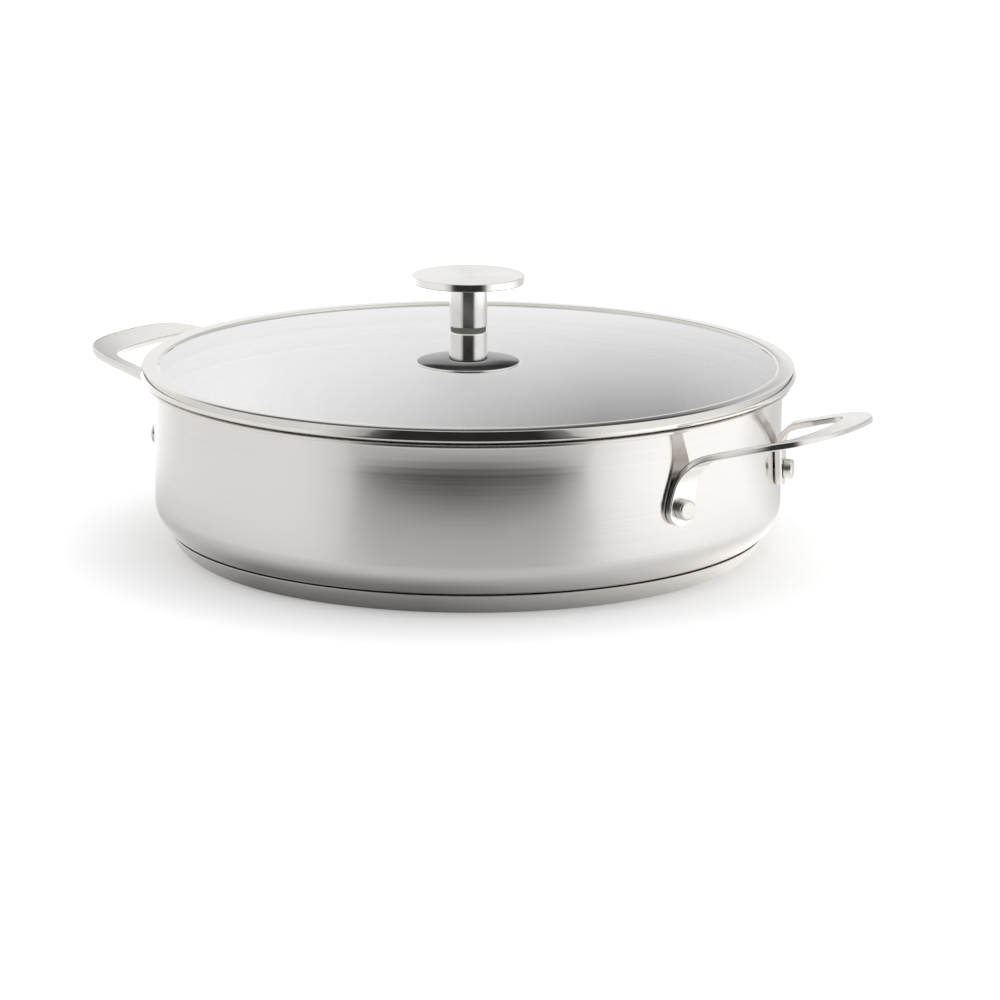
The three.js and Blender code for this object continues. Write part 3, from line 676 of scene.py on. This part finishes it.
def roundTheRoom(tree, direction, s):
    # How dark the room is in this direction, 0 to 1, how bright its sides are, and what both come from.
    turn = math.radians(view["turn"])
    front, right = (math.sin(turn), -math.cos(turn), 0), (math.cos(turn), math.sin(turn), 0)
    ahead = addNode(tree, "VectorMath", {0: direction, 1: front}, operation="DOT_PRODUCT").outputs["Value"]
    aside = addNode(tree, "VectorMath", {0: direction, 1: right}, operation="DOT_PRODUCT").outputs["Value"]
    radians = addNode(tree, "Math", {0: aside, 1: ahead}, operation="ARCTAN2")
    angle = addNode(tree, "Math", {0: radians}, operation="DEGREES")
    part = {}
    for name in ("dark", "edge"):
        ramps = []
        for low, high in (s[name + "Left"], s[name + "Right"]):
            ramps.append(addNode(tree, "MapRange", {"Value": angle, "From Min": low, "From Max": high},
                                 interpolation_type="SMOOTHSTEP"))
        part[name] = addNode(tree, "Math", {0: ramps[0], 1: ramps[1]}, operation="MULTIPLY")
    dark = addNode(tree, "Mix", {"Factor": s["edgeShare"], 2: part["dark"], 3: part["edge"]})
    for name in ("left", "right"):
        ramps = []
        for low, high in (s[name + "Start"], s[name + "End"]):
            ramps.append(addNode(tree, "MapRange", {"Value": angle, "From Min": low, "From Max": high}))
        share = addNode(tree, "Math", {0: ramps[0], 1: ramps[1]}, operation="MULTIPLY")
        part[name] = addNode(tree, "MapRange", {"Value": share, "To Min": 1.0, "To Max": s[name + "Level"]})
    sides = addNode(tree, "Math", {0: part["left"], 1: part["right"]}, operation="MULTIPLY")
    return {"dark": dark, "sides": sides, "angle": angle, "ahead": ahead, "aside": aside}


def setWorld(s):
    world = bpy.data.worlds.new("studio")
    scene.world = world
    world.use_nodes = True
    tree = world.node_tree
    tree.nodes.clear()
    direction = addNode(tree, "TexCoord").outputs["Generated"]
    room = roundTheRoom(tree, direction, s)
    height = addNode(tree, "SeparateXYZ", {0: direction}).outputs["Z"]
    low, high = s["overhead"]
    roof = addNode(tree, "MapRange", {
        "Value": height, "From Min": low, "From Max": high, "To Min": s["roomDepth"], "To Max": 0.0})
    gloom = addNode(tree, "Math", {0: room["dark"], 1: roof}, operation="MULTIPLY")
    bright = addNode(tree, "Math", {0: 1.0, 1: gloom}, operation="SUBTRACT")
    level = addNode(tree, "Math", {0: bright, 1: room["sides"]}, operation="MULTIPLY")
    low, high = s["behind"]
    behind = addNode(tree, "MapRange", {"Value": room["ahead"], "From Min": low, "From Max": high})
    for shade in s["shades"]:
        share = behind
        for value, limits in ((room["aside"], shade["aside"]), (height, shade["height"])):
            for low, high in (limits[:2], limits[:1:-1]):
                ramp = addNode(tree, "MapRange", {"Value": value, "From Min": low, "From Max": high})
                share = addNode(tree, "Math", {0: share, 1: ramp}, operation="MULTIPLY")
        dim = addNode(tree, "MapRange", {"Value": share, "To Min": 1.0, "To Max": 1 - shade["depth"]})
        level = addNode(tree, "Math", {0: level, 1: dim}, operation="MULTIPLY")
    path = addNode(tree, "LightPath").outputs
    mirrored = addNode(tree, "Math", {0: path["Is Glossy Ray"], 1: path["Is Transmission Ray"]},
                       operation="MAXIMUM")
    lit = addNode(tree, "Mix", {"Factor": mirrored, 2: s["fill"], 3: level})
    strength = addNode(tree, "Mix", {"Factor": path["Is Camera Ray"], 2: lit, 3: 1.0})
    background = addNode(tree, "Background", {"Color": (1, 1, 1, 1), "Strength": strength})
    addNode(tree, "OutputWorld", {"Surface": background})


setWorld(studio)


def makeFloor(t, s):
    # White table that keeps the shadow, a little self-lit where it is seen or mirrored. The self-lighting is
    # weaker close to the pan, a painted shade round it. Mirrored in steel it carries painted shade: dimmer
    # toward the dark room, as dark as the room past its front end, and dimmer far behind. Close to the pan it
    # is painted dimmer in front and painted brighter at the sides.
    mesh = bpy.data.meshes.new("floor")
    corners = [(x * t["half"], y * t["half"], 0) for x, y in ((-1, -1), (1, -1), (1, 1), (-1, 1))]
    mesh.from_pydata(corners, [], [(0, 1, 2, 3)])
    material, tree = newMaterial("white table")
    place = addNode(tree, "TexCoord").outputs["Object"]
    room = roundTheRoom(tree, place, s)
    ahead, angle = room["ahead"], room["angle"]
    away = addNode(tree, "VectorMath", {0: place}, operation="LENGTH").outputs["Value"]
    ramp = {}
    for name, value, limits, levels in (
            ("dim", ahead, t["dim"], (0.0, t["dimDepth"])),
            ("end", ahead, t["end"], (0.0, s["roomDepth"] - t["dimDepth"])),
            ("back", ahead, t["back"], (1.0, t["backLevel"])),
            ("near", away, t["contactReach"], (0.0, 1.0)),
            ("contact", angle, t["contactTurn"], t["contact"]),
            ("left", angle, t["leftTurn"], t["left"]),
            ("glow", away, t["glowReach"], t["glow"])):
        ramp[name] = addNode(tree, "MapRange", {"Value": value, "From Min": limits[0], "From Max": limits[1],
                                                "To Min": levels[0], "To Max": levels[1]})
    # Painted shade and light for mirrored rays: dimmer toward the dark room, past the front end and far
    # behind, dimmer in front of the pan and brighter at its sides.
    depth = addNode(tree, "Math", {0: ramp["dim"], 1: ramp["end"]}, operation="ADD")
    gloom = addNode(tree, "Math", {0: room["dark"], 1: depth}, operation="MULTIPLY")
    level = addNode(tree, "Math", {0: 1.0, 1: gloom}, operation="SUBTRACT")
    beside = addNode(tree, "Math", {0: ramp["contact"], 1: ramp["left"]}, operation="MAXIMUM")
    contact = addNode(tree, "Mix", {"Factor": ramp["near"], 2: 1.0, 3: beside})
    contrast = addNode(tree, "Math", {0: room["sides"], 1: t["contrast"]}, operation="POWER")
    for factor in (ramp["back"], contact, contrast):
        level = addNode(tree, "Math", {0: level, 1: factor}, operation="MULTIPLY")
    path = addNode(tree, "LightPath").outputs
    # Only mirrored rays get this painted shade and light; all other rays see the plain white paint.
    level = addNode(tree, "Mix", {"Factor": path["Is Glossy Ray"], 2: 1.0, 3: level})
    seen = path["Is Camera Ray"]
    for ray in ("Is Glossy Ray", "Is Transmission Ray"):
        seen = addNode(tree, "Math", {0: seen, 1: path[ray]}, operation="MAXIMUM")
    # Painted shade: the self-lighting grows with distance from the pan, so the table is darker close round it
    # than its shadow makes it.
    glow = ramp["glow"]
    for factor in (seen, level):
        glow = addNode(tree, "Math", {0: glow, 1: factor}, operation="MULTIPLY")
    white = addNode(tree, "Math", {0: level, 1: t["paint"]}, operation="MULTIPLY")
    paint = addNode(tree, "BsdfDiffuse", {"Color": white})
    light = addNode(tree, "Emission", {"Color": (1, 1, 1, 1), "Strength": glow})
    shader = addNode(tree, "AddShader", {0: paint, 1: light})
    addNode(tree, "OutputMaterial", {"Surface": shader})
    mesh.materials.append(material)
    floor = bpy.data.objects.new("floor", mesh)
    scene.collection.objects.link(floor)


makeFloor(table, studio)

# One wide soft lamp, high on the right and behind
lamp = {"size": 1.4, "power": 5.0, "place": (0.38, 0.53, 1.45), "aim": (0, 0, 0)}
softBox = bpy.data.objects.new("softBox", bpy.data.lights.new("softBox", "AREA"))
softBox.data.size = lamp["size"]
softBox.data.energy = lamp["power"]
softBox.location = lamp["place"]
softBox.visible_glossy = False
softBox.rotation_euler = (Vector(lamp["aim"]) - Vector(lamp["place"])).to_track_quat("-Z", "Y").to_euler()
scene.collection.objects.link(softBox)
print("camera, floor and light made")
